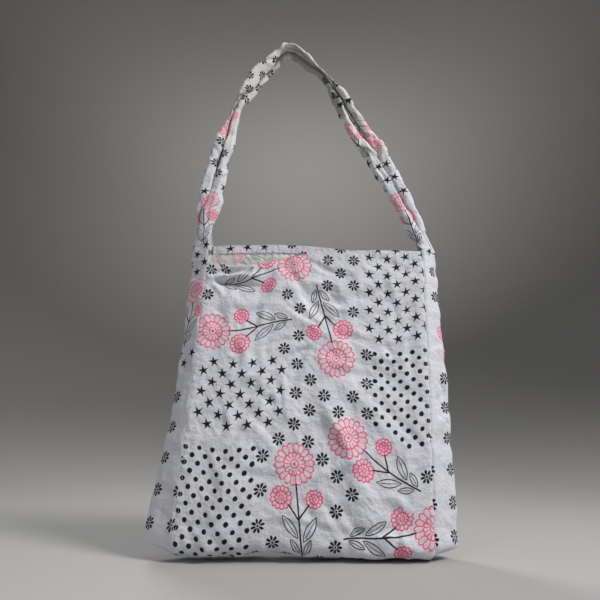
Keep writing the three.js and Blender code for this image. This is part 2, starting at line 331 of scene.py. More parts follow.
def bodyCrumple(grid, drop, u, v):
    look = bodyLook
    fromSeam = (1 - np.abs(u) / (bag["panelWidth"] / 2)) * bag["panelWidth"] / 2
    calm = 1 - fade(fromSeam, look["calmAtSeam"])
    lift = crumple(u, v, look["creases"])
    for folds in look["folds"]:
        lift += scatteredFolds(u, v, folds)
    lift *= calm * (1 - look["hemCalm"] * fade(drop, look["calmAtHem"]))
    # the seam's puckers, the seam itself drawn in, and the hem's ripple
    beat = look["puckerLength"] + look["puckerVary"] * softNoise(v / look["puckerVaryLength"], u * 0 + 3, 5)
    pucker = look["pucker"] * fade(fromSeam, look["puckerReach"])
    lift += pucker * np.sin(v / beat * 2 * math.pi * look["puckerTurns"]) * (fromSeam > onSeam)
    dip = np.where(u < 0, bag["leftSeamDip"], bag["rightSeamDip"])
    lift -= dip * fade(fromSeam, bag["seamDipWide"])
    ripple = look["hemPucker"] * fade(drop - bag["hemDepth"], look["hemPuckerReach"])
    drift = look["hemPuckerDrift"] * softNoise(u / look["hemPuckerDriftLength"], v * 0, 9)
    lift += ripple * np.sin(u / look["hemPuckerLength"] * 2 * math.pi + drift) * calm
    return grid + gridNormals(grid) * lift[..., None]


# side band: left gusset, strap and right gusset in one grid

bandLook = dict(
    columns=57, wallRows=150, joinRows=18, aboveMouth=2, calmAtEdge=9, edgeThin=0.45, edgeReach=1.2,
    pucker=0.45, puckerReach=8.0, puckerLength=8.5, puckerVary=4, puckerVaryLength=50,
    creases=table("size along height seed", (46, 1, 2.2, 51), (19, 1, 1.2, 63)),
    folds=dict(count=110, turn=60, spread=60, long=18, wide=4.5, high=1.1, seed=127))
# a gusset's closed foot, and how its crease stays tucked in below the mouth
footLook = dict(rows=16, closeTurn=89.2, squareness=5.0, spread=36,
                lift=dict(left=11, right=9), step=dict(left=1.0, right=0.3))
tuckLook = dict(length=150, halfWide=0.14, depth=dict(left=2, right=6.5), backOut=dict(left=0, right=10))
strapLook = dict(
    rowsPerSection=20, blendRows=24, wander=3.2, swings=(1.4, 3.3), swingStart=20, swingLines=(2, 7),
    smoothing=2.8, smoothRows=10, waist=2.2, waistLength=30, waistWide=60,
    calmAtEdge=7, edgeCalm=0.85, calmAtCrease=6, creaseCalm=0.75,
    creaseShare=0.25, creaseSoftness=2, creaseFull=4, creaseBow=1.5, lobeRound=2.4, lobeReach=0.11,
    slitDip=1.6, slitDipWide=0.5, lipTuck=1.8, lipFrom=0.76, lipLength=0.18, edgeHem=5.0, hemInside=0.75,
    creases=table("size along height seed", (13, 0.13, 2.4, 83), (17, 0.5, 1.8, 97), (6.5, 0.11, 1.7, 89)),
    folds=dict(count=230, turn=90, spread=32, long=22, wide=3.4, high=2.0, seed=131))
bandPlaces = np.linspace(-1, 1, bandLook["columns"])


def gussetSection(sign, frontSeam, backSeam, reach):
    top = math.hypot(1, bag["creaseRounding"])
    crease = (top - np.hypot(bandPlaces, bag["creaseRounding"])) / (top - bag["creaseRounding"])
    share = ((bandPlaces + 1) / 2)[:, None]
    section = frontSeam * (1 - share) + backSeam * share
    section[:, 0] += sign * (bag["seamGap"] + reach * crease)
    return section


def gussetSections(sign, name, topZ):
    side = np.array(float(sign))
    sections = []
    power = 2 / footLook["squareness"]
    for turn in np.linspace(footLook["closeTurn"], 0, footLook["rows"] + 1)[:-1]:
        frontSeam, backSeam = bottomPlace(side, turn), bottomPlace(side, 180 - turn)
        closing = math.cos(math.radians(turn)) ** power
        reach = readRows(gussetRows, "z", name, frontSeam[2]) * closing
        section = gussetSection(sign, frontSeam, backSeam, reach)
        out = np.clip((np.abs(section[:, 0] - frontSeam[0]) - bag["seamGap"]) / footLook["spread"], 0, 1)
        out = out ** footLook["step"][name]
        section[:, 2] += footLook["lift"][name] * out * math.sin(math.radians(turn))
        sections.append(section)
    for z in np.linspace(float(kneeZ(side)), topZ, bandLook["wallRows"]):
        reach = readRows(gussetRows, "z", name, z)
        places = [wallPlace(which, side, np.array(z)) for which in ("front", "back")]
        section = gussetSection(sign, *places, reach)
        # below the mouth the strap's crease is still folded in, with the back half standing out
        near = np.clip(1 - (topZ - z) / tuckLook["length"], 0, 1)
        out = tuckLook["backOut"][name] * np.sin(math.pi * np.clip(bandPlaces, 0, 1)) ** 2
        tuck = tuckLook["depth"][name] * fade(bandPlaces, tuckLook["halfWide"])
        section[:, 0] += sign * near * (out - tuck)
        sections.append(section)
    return sections


def strapSections():
    rows = [dict(row, k=k) for k, row in enumerate(strapRows)]
    count = (len(rows) - 1) * strapLook["rowsPerSection"] + 1
    at = np.linspace(0, len(rows) - 1, count)
    read = {column: readRows(rows, "k", column, at) for column in strapRows[0]}
    way = np.stack([np.gradient(read["x"]), np.zeros(count), np.gradient(read["z"])], -1)
    way /= np.linalg.norm(way, axis=-1, keepdims=True)
    outward = np.stack([-way[:, 2], np.zeros(count), way[:, 0]], -1)
    forward = np.array([0, -1.0, 0])
    flat = np.radians(read["flatTurn"])[:, None]
    broad = outward * np.cos(flat) + forward * np.sin(flat)
    thin = forward * np.cos(flat) - outward * np.sin(flat)
    crease, gap = np.radians(read["creaseTurn"])[:, None], np.radians(read["slitGap"])[:, None]
    wide, thick = read["halfWidth"][:, None], read["halfThick"][:, None]

    def onOval(turn):
        return ((wide * np.cos(turn - flat))[..., None] * broad[:, None]
                + (thick * np.sin(turn - flat))[..., None] * thin[:, None])

    centre = np.stack([read["x"], read["y"], read["z"]], -1)
    calm = np.clip(np.minimum(at, at[::-1]), 0, 1)
    for axis, seed in ((outward, 151), (forward[None], 157)):
        slow, quick = (at * rate + strapLook["swingStart"] for rate in strapLook["swings"])
        swings = swing(slow, quick, strapLook["swingLines"], (seed, seed))
        centre += axis * (strapLook["wander"] * swings * calm)[:, None]
    # two lobes, with the crease folded in between them
    share = strapLook["creaseShare"]
    lip = read["creaseOpen"][:, None] / np.hypot(wide * np.sin(crease - flat), thick * np.cos(crease - flat))
    away, side = np.abs(bandPlaces)[None], np.sign(bandPlaces)[None]
    plain = onOval(crease - bandPlaces[None] * (math.pi - gap))
    onLobe = np.clip((away - share) / (1 - share), 0, 1)
    lobes = onOval(crease - side * (lip + (math.pi - gap - lip) * onLobe))
    middle = (onOval(crease + lip) + onOval(crease - lip)) / 2
    outOf = broad * np.cos(crease - flat) / wide + thin * np.sin(crease - flat) / thick
    outOf /= np.linalg.norm(outOf, axis=-1, keepdims=True)
    inFold = np.clip(away / share, 0, 1)[..., None]
    sunk = read["creaseDepth"][:, None, None] * (1 - inFold ** strapLook["creaseBow"])
    folded = middle + (lobes - middle) * inFold - sunk * outOf[:, None]
    folded = np.where(inFold < 1, folded, lobes)
    rounding = strapLook["lobeRound"] * fade(np.clip(away - share, 0, 1), strapLook["lobeReach"])
    folded = folded - rounding[..., None] * outOf[:, None]
    full = np.clip(read["creaseDepth"] / strapLook["creaseFull"], 0, 1)
    places = plain + (folded - plain) * full[:, None, None]
    # the cloth dips to the slit, and one lip is tucked under the other
    fromSlit = (1 - away) * (math.pi - gap)
    dip = strapLook["slitDip"] * fade(fromSlit, strapLook["slitDipWide"])
    tuck = ease(np.clip((bandPlaces - strapLook["lipFrom"]) / strapLook["lipLength"], 0, 1))
    dip = dip + strapLook["lipTuck"] * tuck
    toSlit = -(broad * np.cos(crease - flat) + thin * np.sin(crease - flat))
    places = places - dip[..., None] * toSlit[:, None]
    for _ in range(strapLook["creaseSoftness"]):
        places[:, 1:-1] = (places[:, :-2] + 2 * places[:, 1:-1] + places[:, 2:]) / 4
    return list(centre[:, None] + places)


def joinSections(start, end):
    shares = ease(np.linspace(0, 1, bandLook["joinRows"] + 2)[1:-1])
    return [start * (1 - share) + end * share for share in shares]


def bandGrid():
    corners = readRows(edgeRows, "across", "backTop", np.array([-1.0, 1.0]))
    leftTop, rightTop = corners + bandLook["aboveMouth"]
    leftGusset = gussetSections(-1, "left", leftTop)
    rightGusset = gussetSections(1, "right", rightTop)[::-1]
    strap = strapSections()
    rows = leftGusset + joinSections(leftGusset[-1], strap[0]) + strap
    rows += joinSections(strap[-1], rightGusset[0]) + rightGusset
    grid = np.array(rows)
    first, last = len(leftGusset), len(rows) - len(rightGusset)
    # the strap's rows are smoothed along its length
    reach = int(3 * strapLook["smoothing"])
    steps = np.arange(-reach, reach + 1)
    weights = np.exp(-0.5 * (steps / strapLook["smoothing"]) ** 2)
    weights /= weights.sum()
    smooth = sum(weight * np.roll(grid, step, axis=0) for weight, step in zip(weights, steps))
    blend = np.zeros(len(rows))
    inStrap = np.arange(last - first)
    blend[first:last] = np.clip(np.minimum(inStrap, inStrap[::-1]) / strapLook["smoothRows"], 0, 1)
    return grid + (smooth - grid) * blend[:, None, None], first, last


def fromBandEdge(u):
    return np.minimum(u - u[:, :1], u[:, -1:] - u)


def bandCrumple(grid, u, v, first, last):
    row = np.arange(len(grid))
    fromEdge = fromBandEdge(u)
    calm = 1 - fade(fromEdge, bandLook["calmAtEdge"])
    pucker = bandLook["pucker"] * fade(fromEdge, bandLook["puckerReach"])
    drift = bandLook["puckerVary"] * softNoise(v / bandLook["puckerVaryLength"], u * 0, 71)
    wave = np.sin(v / bandLook["puckerLength"] + drift)
    gusset = crumple(u, v, bandLook["creases"]) * calm + pucker * wave * (fromEdge > onSeam)
    dip = np.where(row < len(grid) / 2, bag["leftSeamDip"], bag["rightSeamDip"])[:, None]
    gusset -= dip * fade(fromEdge, bag["seamDipWide"])
    gusset += scatteredFolds(u, v, bandLook["folds"]) * calm
    rolled = crumple(u, v, strapLook["creases"]) + scatteredFolds(u, v, strapLook["folds"])
    waists = softNoise(v / strapLook["waistLength"], u / strapLook["waistWide"] + 3, 137)
    rolled += strapLook["waist"] * (waists - 0.5) * 2
    rolled *= 1 - strapLook["edgeCalm"] * fade(fromEdge, strapLook["calmAtEdge"])
    rolled *= 1 - strapLook["creaseCalm"] * fade(u, strapLook["calmAtCrease"])
    strap = np.clip(np.minimum(row - first, last - row) / strapLook["blendRows"], 0, 1)[:, None]
    lift = gusset * (1 - strap) + rolled * strap
    return grid + gridNormals(grid) * lift[..., None]


# one shader-maths wrapper for every material

def mathsOperator(operation, swapped=False):
    def apply(self, other):
        return self.maths(operation, other, self) if swapped else self.maths(operation, self, other)
    return apply


class Wire:
    def __init__(self, tree, socket):
        self.tree, self.socket = tree, socket

    def node(self, kind, settings, sockets, out=0):
        made = self.tree.nodes.new(kind)
        for key, value in settings.items():
            setattr(made, key, value)
        for key, value in sockets.items():
            if isinstance(value, Wire):
                self.tree.links.new(value.socket, made.inputs[key])
            else:
                made.inputs[key].default_value = value
        return Wire(self.tree, made.outputs[out])

    def also(self, out):
        return Wire(self.tree, self.socket.node.outputs[out])

    def maths(self, operation, *values, clamp=False):
        settings = dict(operation=operation, use_clamp=clamp)
        return self.node("ShaderNodeMath", settings, dict(enumerate(values)))

    __add__, __radd__ = mathsOperator("ADD"), mathsOperator("ADD", swapped=True)
    __sub__, __rsub__ = mathsOperator("SUBTRACT"), mathsOperator("SUBTRACT", swapped=True)
    __mul__, __rmul__ = mathsOperator("MULTIPLY"), mathsOperator("MULTIPLY", swapped=True)
    __truediv__, __rtruediv__ = mathsOperator("DIVIDE"), mathsOperator("DIVIDE", swapped=True)
    __lt__, __gt__ = mathsOperator("LESS_THAN"), mathsOperator("GREATER_THAN")
    __or__, __and__ = mathsOperator("MAXIMUM"), mathsOperator("MINIMUM")

    def __neg__(self):
        return self * -1.0

    def __abs__(self):
        return self.maths("ABSOLUTE", self)

    def feed(self, shader, name):
        self.tree.links.new(self.socket, shader.inputs[name])

    def under(self, edge, soft):
        # 1 below the edge, 0 above it, with a soft step between
        return self.maths("MULTIPLY_ADD", edge - self, 1 / soft, 0.5, clamp=True)

    def times(self, gain):
        # multiplied and held between 0 and 1
        return self.maths("MULTIPLY", self, gain, clamp=True)

    def wave(self):
        return self.maths("SINE", self)

    def nearest(self):
        return self.maths("FLOOR", self + 0.5)

    def repeat(self, length):
        return self.maths("FLOORED_MODULO", self, length)


def most(wires):
    return functools.reduce(lambda first, second: first | second, wires)


def least(wires):
    return functools.reduce(lambda first, second: first & second, wires)


def hypot(x, y):
    square = x * x + y * y
    return square.maths("SQRT", square)


def newMaterial(name):
    material = bpy.data.materials.new(name)
    material.use_nodes = True
    return material, material.node_tree, material.node_tree.nodes["Principled BSDF"]


def mixColour(factor, first, second):
    settings = dict(data_type="RGBA", blend_type="MIX")
    return factor.node("ShaderNodeMix", settings, {0: factor, 6: first, 7: second}, out=2)


def srgb(red, green, blue):
    linear = lambda c: c / 12.92 if c <= 0.04045 else ((c + 0.055) / 1.055) ** 2.4
    return (*(linear(c / 255) for c in (red, green, blue)), 1.0)


def tinted(colour, shares):
    return (*(c * share for c, share in zip(colour, shares)), 1.0)


# the print, in millimetres of flat cloth

printLook = dict(
    soft=0.5, clearAlong=72.0, clearAcross=35.0, clearAtPatch=6.0, chanceSteps=(0.731, 0.917),
    ink=srgb(17, 18, 22), pink=srgb(232, 74, 122), blush=srgb(244, 184, 202),
    cloth=srgb(216, 218, 225), wrongSide=srgb(224, 225, 224), inkThrough=0.5, pinkThrough=0.4)

floretLook = dict(radius=8.1, petals=8, tilt=0.6, petalAt=0.62, petalLong=0.39, petalSoft=0.3,
                  wide=0.66, flare=0.17, heart=1.3)
starLook = dict(across=25.4, up=26.2, radius=7.7, inner=2.6, points=5, tilt=0.7, tiltBack=0.3)
dotLook = dict(across=16.6, up=18.0, radius=2.95, vary=0.12)

# florets in rows, with patches of stars and dots, lines left bare, and flower sprays;
# on the body v runs from the middle of the bottom up the front, on the band from the left foot
bodyPrint = dict(
    name="body print", tileLength=440.0, tileStart=8.0,
    floretAcross=36.3, floretUp=38.2, floretAt=(0.0, 0.0), starAt=(0.0, -429.5),
    patches=table(
        "kind u v halfAcross halfUp",
        ("star", 112, 353, 44, 72),
        ("dot", 118, 214, 38, 62),
        ("star", -87, 209, 58, 48),
        ("dot", -112, 82, 50, 70),
        ("star", 104, 10, 48, 8),
        ("star", 104, 446, 48, 12)),
    sprays=table(
        "u v turn size",
        (-66, 380, 14, 1.0),
        (22, 296, -74, 1.0),
        (-96, 298, 188, 1.0),
        (80, 138, 146, 1.0),
        (-10, 88, 98, 1.0),
        (114, 54, 6, 1.0)))
bandPrint = dict(
    name="band print", tileLength=1900.0, tileStart=-100.0,
    floretAcross=36.3, floretUp=37.85, floretAt=(-9.0, 53.0), starAt=(0.0, 0.0),
    patches=table(
        "kind u v halfAcross halfUp",
        ("bare", -27.2, 190, 2, 190),
        ("bare", 9.2, 190, 2, 190),
        ("star", 0, 256, 40, 12),
        ("star", 0, 402, 40, 26),
        ("star", 0, 520, 40, 14),
        ("bare", 0, 858, 40, 44),
        ("star", 0, 990, 40, 12),
        ("star", 0, 1128, 45, 38),
        ("star", 0, 1264, 40, 14),
        ("bare", -27.2, 1490, 2, 200),
        ("bare", 9.2, 1490, 2, 200),
        ("dot", 24, 1560, 13, 50),
        ("dot", 24, 120, 13, 50)),
    sprays=table(
        "u v turn size",
        (8, -14, 90, 0.8),
        (-14, 322, 98, 0.75),
        (-12, 470, 80, 0.7),
        (8, 655, -90, 0.7),
        (8, 1046, 84, 0.7),
        (-24, 1052, -100, 0.6),
        (-14, 1208, -84, 0.7),
        (14, 1390, 90, 0.8)))


def shaderGroup(name, outputs, draw):
    # a node group that reads a place on the flat cloth, in millimetres
    tree = bpy.data.node_groups.new(name, "ShaderNodeTree")
    for each in ("U", "V"):
        tree.interface.new_socket(each, in_out="INPUT", socket_type="NodeSocketFloat")
    for each in outputs:
        tree.interface.new_socket(each, in_out="OUTPUT", socket_type="NodeSocketFloat")
    start, end = tree.nodes.new("NodeGroupInput"), tree.nodes.new("NodeGroupOutput")
    drawn = draw(Wire(tree, start.outputs["U"]), Wire(tree, start.outputs["V"]))
    for each, wire in zip(outputs, drawn):
        tree.links.new(wire.socket, end.inputs[each])
    print("shader group", name, "with", len(tree.nodes), "nodes")
    return tree


def useGroup(tree, u, v):
    first = u.node("ShaderNodeGroup", dict(node_tree=tree), {"U": u, "V": v})
    return [first.also(k) for k in range(len(first.socket.node.outputs))]


def lattice(u, v, across, up, at=(0.0, 0.0)):
    # a place seen from the nearest of a staggered pattern's middles, and that middle
    u, v = u - at[0], v - at[1]
    a, b = u / across + v / up, u / across - v / up
    i, j = a.nearest(), b.nearest()
    centreU, centreV = (i + j) * (across / 2), (i - j) * (up / 2)
    return u - centreU, v - centreV, centreU + at[0], centreV + at[1]


def chance(x, y, seed):
    # a number from 0 to 1 for each motif
    stepX, stepY = printLook["chanceSteps"]
    place = x.node("ShaderNodeCombineXYZ", {}, {0: x * stepX, 1: y * stepY, 2: seed})
    return x.node("ShaderNodeTexWhiteNoise", dict(noise_dimensions="3D"), {"Vector": place})


def inTile(u, v, cloth):
    # the layout repeats up the cloth, turned over below its start
    v = v - cloth["tileStart"]
    return u * v.maths("SIGN", v), v.repeat(cloth["tileLength"]) + cloth["tileStart"]


def turned(u, v, row):
    turn = math.radians(row["turn"])
    cosine, sine = math.cos(turn) / row["size"], math.sin(turn) / row["size"]
    x, y = u - row["u"], v - row["v"]
    return x * cosine + y * sine, y * cosine - x * sine


def layout(u, v, cloth):
    # where florets, stars and dots are printed, read at each motif's middle
    u, v = inTile(u, v, cloth)
    outside = {}
    for row in cloth["patches"]:
        edge = (abs(u - row["u"]) - row["halfAcross"]) | (abs(v - row["v"]) - row["halfUp"])
        outside.setdefault(row["kind"], []).append(edge)
    fromSprays = []
    for row in cloth["sprays"]:
        along, off = turned(u, v, row)
        along, off = along / printLook["clearAlong"], off / printLook["clearAcross"]
        fromSprays.append(along * along + off * off)
    clear = least(fromSprays) > 1.0
    florets = least(sum(outside.values(), [])) > printLook["clearAtPatch"]
    stars, dots = (least(outside[kind]) < 0.0 for kind in ("star", "dot"))
    return florets * clear, stars * clear, dots * clear


def floret(u, v, cloth, shown):
    look = floretLook
    x, y, middleU, middleV = lattice(u, v, cloth["floretAcross"], cloth["floretUp"], cloth["floretAt"])
    r, each = hypot(x, y), 2 * math.pi / look["petals"]
    angle = y.maths("ARCTAN2", y, x) + (chance(middleU, middleV, 1.0) - 0.5) * look["tilt"]
    bend = ((angle * (1 / each) + 0.5).repeat(1.0) - 0.5) * each
    along, off = r * bend.maths("COSINE", bend), r * bend.wave()
    wide = look["wide"] + look["flare"] * along  # a petal is broader towards its tip
    along = (along - look["radius"] * look["petalAt"]) / (look["radius"] * look["petalLong"])
    petal = hypot(along, off / wide).under(1.0, look["petalSoft"])
    return [(petal | r.under(look["heart"], printLook["soft"])) * useGroup(shown, middleU, middleV)[0]]


def star(u, v, cloth, shown):
    look = starLook
    x, y, middleU, middleV = lattice(u, v, look["across"], look["up"], cloth["starAt"])
    r, half = hypot(x, y), math.pi / look["points"]
    angle = x.maths("ARCTAN2", x, y) + (chance(middleU, middleV, 2.0) - look["tiltBack"]) * look["tilt"]
    bend = (angle + half).repeat(2 * half) - half
    toTip, aside = r * bend.maths("COSINE", bend), r * abs(bend.wave())
    edgeX, edgeY = look["inner"] * math.cos(half) - look["radius"], look["inner"] * math.sin(half)
    length = math.hypot(edgeX, edgeY)
    outside = (toTip - look["radius"]) * (edgeY / length) - aside * (edgeX / length)
    return [outside.under(0.0, printLook["soft"]) * useGroup(shown, middleU, middleV)[1]]


def dot(u, v, shown):
    look = dotLook
    x, y, middleU, middleV = lattice(u, v, look["across"], look["up"])
    radius = look["radius"] * (1 - look["vary"] / 2 + look["vary"] * chance(middleU, middleV, 3.0))
    return [hypot(x, y).under(radius, printLook["soft"]) * useGroup(shown, middleU, middleV)[2]]


bloomRows = table(
    "along off radius petals",
    (38, 0, 24, 18),
    (2, 19, 13, 13),
    (-2, -20, 10, 11))
leafRows = table(
    "along off turn length width",
    (-30, 11, 32, 15, 4.6),
    (-34, -12, -36, 15, 4.6),
    (-52, 7, 28, 10, 3.4),
    (-54, -7, -28, 10, 3.4))
twigRows = table(
    "start end",
    ((-68, 0), (15, 0)),
    ((-24, 0), (-6, 11)),
    ((-22, 0), (-8, -13)))
lineLook = dict(petal=0.95, vein=0.62, leaf=0.62, ribShare=0.7, twig=0.95, heart=0.7, soft=0.5)
# shares of a flower's radius, and how its inner ring of petals differs from the outer one
bloomLook = dict(scallop=0.14, veinFrom=0.5, innerSize=0.56, innerTurn=0.3, innerFewer=4,
                 openFrom=0.27, heartRing=0.2, heartDot=0.08)
leafLook = dict(rimTo=1.03, ribTo=0.75)
# how far a spray's drawing reaches from its middle, wider where the flowers are
sprayReach = dict(along=72.0, off=25.0, flowersFrom=-18.0, flowersOff=9.0)


def petalRing(r, angle, radius, petals):
    # the line work of one ring of petals, and its scalloped edge
    part = (angle * (petals / (2 * math.pi))).repeat(1.0) - 0.5
    scallop = bloomLook["scallop"]
    edge = radius * (1 - scallop + scallop * (1 - 4 * part * part))
    rim = abs(r - edge).under(lineLook["petal"], lineLook["soft"])
    between = (0.5 - abs(part)) * r * (2 * math.pi / petals)
    inside = (r < edge) * (r > radius * bloomLook["veinFrom"])
    return rim | between.under(lineLook["vein"], lineLook["soft"]) * inside, edge


def bloom(along, off, row):
    # a round many-petalled flower: its line work and its whole area
    look, radius, petals = bloomLook, row["radius"], row["petals"]
    x, y = along - row["along"], off - row["off"]
    r, angle = hypot(x, y), y.maths("ARCTAN2", y, x)
    outer, outerEdge = petalRing(r, angle, radius, petals)
    innerPetals = petals - look["innerFewer"]
    inner, innerEdge = petalRing(r, angle + look["innerTurn"], radius * look["innerSize"], innerPetals)
    heart = abs(r - radius * look["heartRing"]).under(lineLook["heart"], lineLook["soft"])
    heart = heart | r.under(radius * look["heartDot"], lineLook["soft"])
    line = outer * (r > innerEdge) | inner
    return line * (r > radius * look["openFrom"]) | heart, r < outerEdge


def leaf(along, off, row):
    # a pointed leaf's outline with its midrib
    cosine, sine = math.cos(math.radians(row["turn"])), math.sin(math.radians(row["turn"]))
    x, y = along - row["along"], off - row["off"]
    x, y = (x * cosine + y * sine) / row["length"], abs(y * cosine - x * sine)
    half = row["width"] * (1 - x * x)
    rim = abs(y - half).under(lineLook["leaf"], lineLook["soft"]) * (abs(x) < leafLook["rimTo"])
    rib = y.under(lineLook["leaf"] * lineLook["ribShare"], lineLook["soft"]) * (abs(x) < leafLook["ribTo"])
    return rim | rib


def twig(along, off, row):
    # a straight twig between two places
    dx, dy = row["end"][0] - row["start"][0], row["end"][1] - row["start"][1]
    length = math.hypot(dx, dy)
    x, y = along - row["start"][0], off - row["start"][1]
    t = ((x * (dx / length) + y * (dy / length)) & length) | 0.0
    gap = hypot(x - t * (dx / length), y - t * (dy / length))
    return gap.under(lineLook["twig"], lineLook["soft"])


def localSpray(u, v, cloth):
    # a place as the spray that covers it sees it, and whether one does
    u, v = inTile(u, v, cloth)
    along, off, shown = 0.0, 0.0, 0.0
    for row in cloth["sprays"]:
        x, y = turned(u, v, row)
        offReach = (x > sprayReach["flowersFrom"]) * sprayReach["flowersOff"] + sprayReach["off"]
        here = (abs(x) < sprayReach["along"]) * (abs(y) < offReach) * (1 - shown)
        along, off, shown = along + x * here, off + y * here, shown + here
    return along, off, shown


def sprays(u, v, local):
    along, off, shown = useGroup(local, u, v)
    blooms = [bloom(along, off, row) for row in bloomRows]
    pink, blush = (most(marks) for marks in zip(*blooms))
    leaves, twigs = [leaf(along, off, row) for row in leafRows], [twig(along, off, row) for row in twigRows]
    return most(leaves + twigs) * (1 - blush) * shown, pink * shown, blush * shown


def printGroups(cloth):
    # the shader groups that draw one cloth's print
    def group(kind, outputs, draw):
        return shaderGroup(cloth["name"] + " " + kind, outputs, draw)

    shown = group("layout", ("Floret", "Star", "Dot"), lambda u, v: layout(u, v, cloth))
    local = group("spray places", ("Along", "Off", "Shown"), lambda u, v: localSpray(u, v, cloth))
    return dict(
        florets=group("florets", ("Ink",), lambda u, v: floret(u, v, cloth, shown)),
        stars=group("stars", ("Ink",), lambda u, v: star(u, v, cloth, shown)),
        dots=group("dots", ("Ink",), lambda u, v: dot(u, v, shown)),
        sprays=group("sprays", ("Black", "Pink", "Blush"), lambda u, v: sprays(u, v, local)))


# cloudy shifts of the ground colour: the noise, the level it starts from, and the tint
mottleRows = table(
    "scale detail roughness above gain tint",
    (16.0, 4.0, 0.5, 0.35, 1.6, (0.9, 0.9, 0.9)),
    (38.0, 3.0, 0.5, 0.5, 4.0, (1.0, 0.91, 0.945)),
    (27.0, 5.0, 0.65, 0.48, 4.0, (0.86, 0.92, 0.96)))
clothLook = dict(
    bleed=0.9, bleedScale=260.0, slubScale=900.0, blotScale=38.0,
    grain=0.34, grainLevel=0.1, grainTint=(0.9, 0.9, 0.9), blushLevel=0.1, blushBlot=0.45,
    pinkShare=0.95, pinkLevel=0.8, pinkSlub=0.36, inkShare=1.0, inkLevel=0.93, inkSlub=0.12,
    roughness=0.86, slubRoughness=0.1, inkRoughness=0.08, sheen=0.04, sheenRoughness=0.6, specular=0.15,
    thread=0.62, weaveShare=0.35, weaveStrength=0.25, weaveBump=0.0003,
    crinkleScale=120.0, crinkleRoughness=0.6, crinkleStrength=0.8, crinkleBump=0.0028)
# the strap's cream tint near the top, and painted shade: a dark tint in its folded-in crease and on its
# underside past the top, in millimetres along and across the band
strapCreamAndPaintedShade = dict(
    topAt=852, creamReach=240, creamSoft=120, cream=(0.99, 0.955, 0.86),
    paintedShade=(0.2, 0.19, 0.15), creaseShadeShare=0.8, creaseShadeWide=5.5, creaseShadeSoft=6, creaseShadeReach=400, creaseShadeFade=60,
    hollowReach=30, hollowSoft=24, hollowWide=3.5,
    underFrom=838, underStart=12.0, underReach=165, underEnd=20.0, underEdge=19, underSlant=0.2,
    underEdgeSoft=4.0, underWide=24, underWideSoft=3.0, undersideShadeShare=0.62)


def noise(place, scale, detail, roughness=0.5):
    sockets = {"Vector": place, "Scale": scale, "Detail": detail, "Roughness": roughness}
    return place.node("ShaderNodeTexNoise", {}, sockets)


def bump(height, strength, distance, under=None):
    sockets = {"Strength": strength, "Distance": distance, "Height": height}
    if under is not None:
        sockets["Normal"] = under
    return height.node("ShaderNodeBump", {}, sockets)


def paintStrapCreamAndShade(colour, ground, u, v):
    # creamier near the top, and painted shade along the strap's folded-in crease, wider in the hollow at the
    # top
    look = strapCreamAndPaintedShade
    fromTop = abs(v - look["topAt"])
    paintedShade = tinted(ground, look["paintedShade"])
    cream = fromTop.under(look["creamReach"], look["creamSoft"])
    colour = mixColour(cream, colour, tinted(ground, look["cream"]))
    hollow = fromTop.under(look["hollowReach"], look["hollowSoft"]) * look["hollowWide"]
    folded = (abs(u) - hollow).under(look["creaseShadeWide"], look["creaseShadeSoft"])
    folded = folded * fromTop.under(look["creaseShadeReach"], look["creaseShadeFade"])
    colour = mixColour(folded * look["creaseShadeShare"], colour, paintedShade)
    # painted shade on the underside right of the top, where it lies in the strap's own shade
    pastTop = v - look["underFrom"]
    under = (u + pastTop * look["underSlant"]).under(look["underEdge"], look["underEdgeSoft"])
    under = under * (-u).under(look["underWide"], look["underWideSoft"])
    under = under * (-pastTop).under(0.0, look["underStart"])
    under = under * pastTop.under(look["underReach"], look["underEnd"])
    return mixColour(under * look["undersideShadeShare"], colour, paintedShade)


